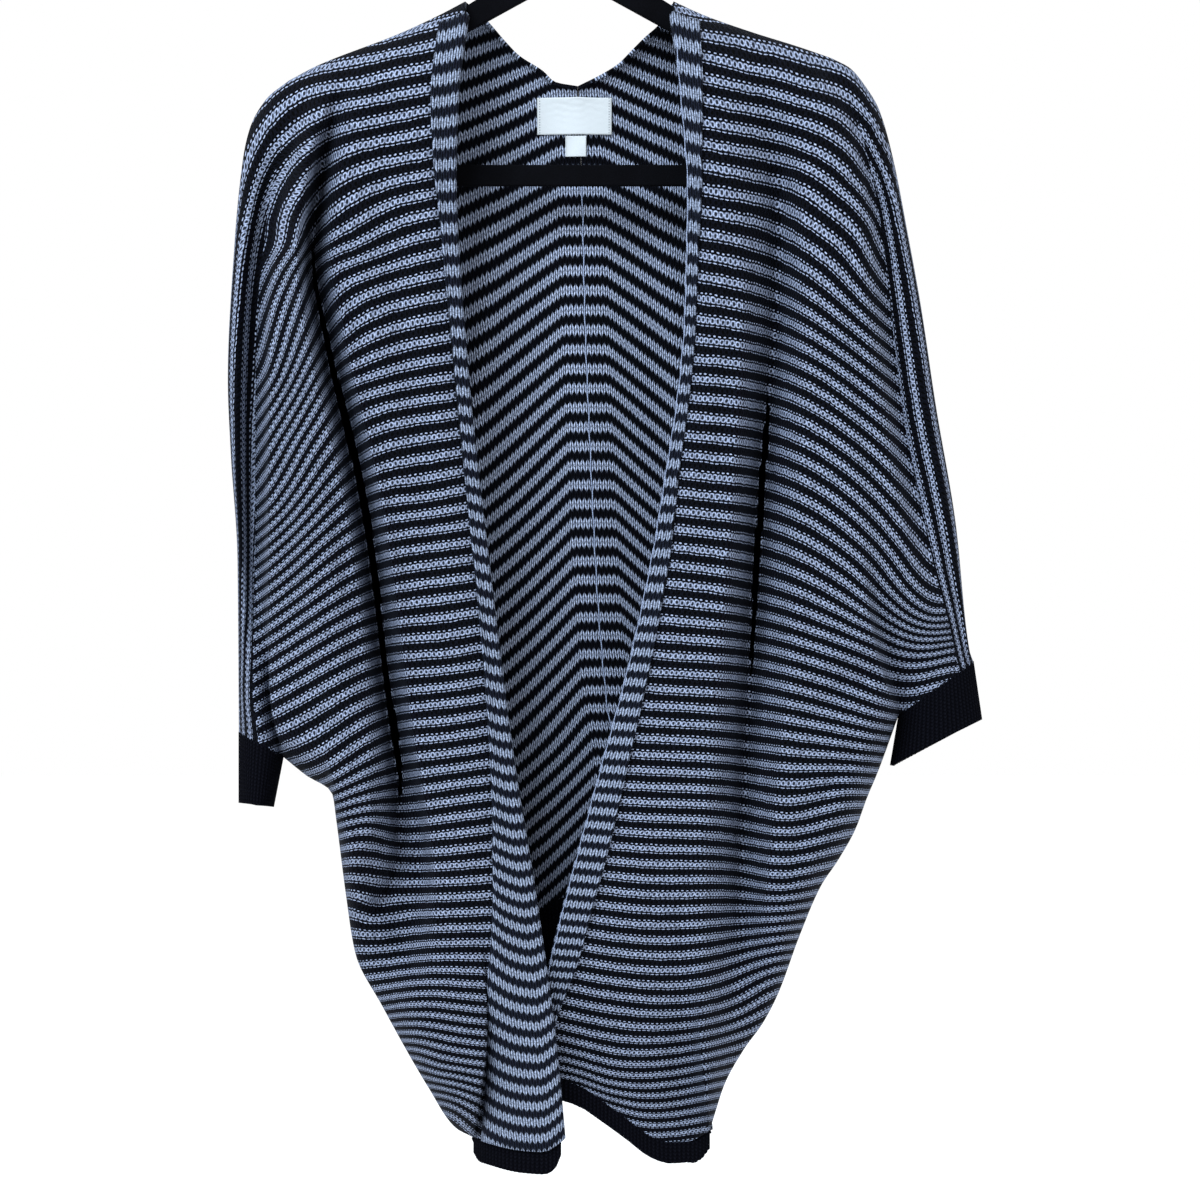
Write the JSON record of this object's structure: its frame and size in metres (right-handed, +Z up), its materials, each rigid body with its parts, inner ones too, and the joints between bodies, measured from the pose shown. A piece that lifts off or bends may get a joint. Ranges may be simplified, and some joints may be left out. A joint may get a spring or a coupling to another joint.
{
  "type": "batwing cardigan on a clothes hanger",
  "caption": "Open batwing cardigan in striped knit with ribbed cuffs and hem, hanging on a flat velvet clothes hanger with a wire hook.",
  "frame": {"origin": "top of the hook's inside, where it rests on a rail", "axes": "+Z up, +X towards the wearer's left (the viewer's right), the fronts face -Y"},
  "size_m": [0.5442, 0.0954, 0.9595],
  "materials": {
    "knit": "striped plain knit, dark navy and slate blue, napped wool-like yarn",
    "rib": "fine dark navy rib, matt",
    "label": "woven off-white tape, matt",
    "velvet": "black flocked velvet on a moulded frame",
    "hook_metal": "polished wire"
  },
  "bodies": {
    "root": {"right_front": "knit", "left_front": "knit", "right_back": "knit", "left_back": "knit", "right_front_band": "knit", "left_front_band": "knit", "right_front_hem": "rib", "left_front_hem": "rib", "right_back_hem": "rib", "left_back_hem": "rib", "right_cuff": "rib", "left_cuff": "rib", "neck_label": "label", "size_tag": "label", "hanger": "velvet", "hook": "hook_metal"}
  },
  "joints": []
}
